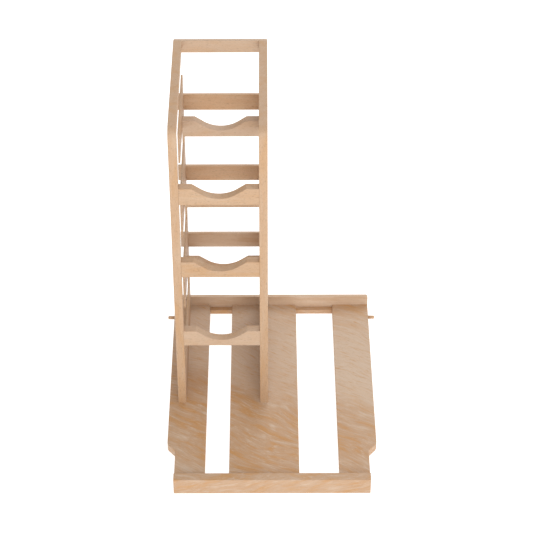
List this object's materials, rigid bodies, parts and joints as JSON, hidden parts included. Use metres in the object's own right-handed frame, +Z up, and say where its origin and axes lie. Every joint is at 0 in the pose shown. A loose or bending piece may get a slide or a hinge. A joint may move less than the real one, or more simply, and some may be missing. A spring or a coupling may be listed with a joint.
{
  "type": "wooden paint rack organizer",
  "caption": "Wooden rack for paint cans: an open tower with scalloped cradles stands on the left half of a slotted tray with a front lip and round side pins.",
  "frame": {"origin": "bottom centre of the whole object's bounding box, on the surface the tray stands on, midway between the side pins and midway between the lip and the back rail", "axes": "+X to the right seen from the front, +Y from the front lip to the back rail, +Z up"},
  "size_m": [0.2452, 0.305, 0.3835],
  "materials": {
    "tray_wood": "matte",
    "tower_wood": "matte",
    "dowel_wood": "matte",
    "steel": "satin"
  },
  "bodies": {
    "base": {"base_plate": "tray_wood", "front_lip": "tray_wood", "lip_dowels": "dowel_wood", "back_rail": "tray_wood", "back_rail_brads": "steel", "rear_batten": "tray_wood", "left_side_pin": "dowel_wood", "right_side_pin": "dowel_wood"},
    "tower": {"left_side_frame": "tower_wood", "left_cheek": "tower_wood", "left_cradle_dowels": "dowel_wood", "left_cheek_brads": "steel", "left_foot_pegs": "dowel_wood", "right_side_frame": "tower_wood", "right_cheek": "tower_wood", "right_cradle_dowels": "dowel_wood", "right_cheek_brads": "steel", "right_foot_pegs": "dowel_wood", "lower_front_cradle": "tower_wood", "lower_rear_cradle": "tower_wood", "middle_front_cradle": "tower_wood", "middle_rear_cradle": "tower_wood", "upper_front_cradle": "tower_wood", "upper_rear_cradle": "tower_wood", "lower_rear_slat": "tower_wood", "middle_rear_slat": "tower_wood", "upper_rear_slat": "tower_wood", "top_rear_rail": "tower_wood", "top_rail_brads": "steel"}
  },
  "joints": [
    {"name": "tower_lift", "type": "slide", "parent": "base", "child": "tower", "axis": [0, 0, 1], "range_m": [0, 0.04]}
  ]
}
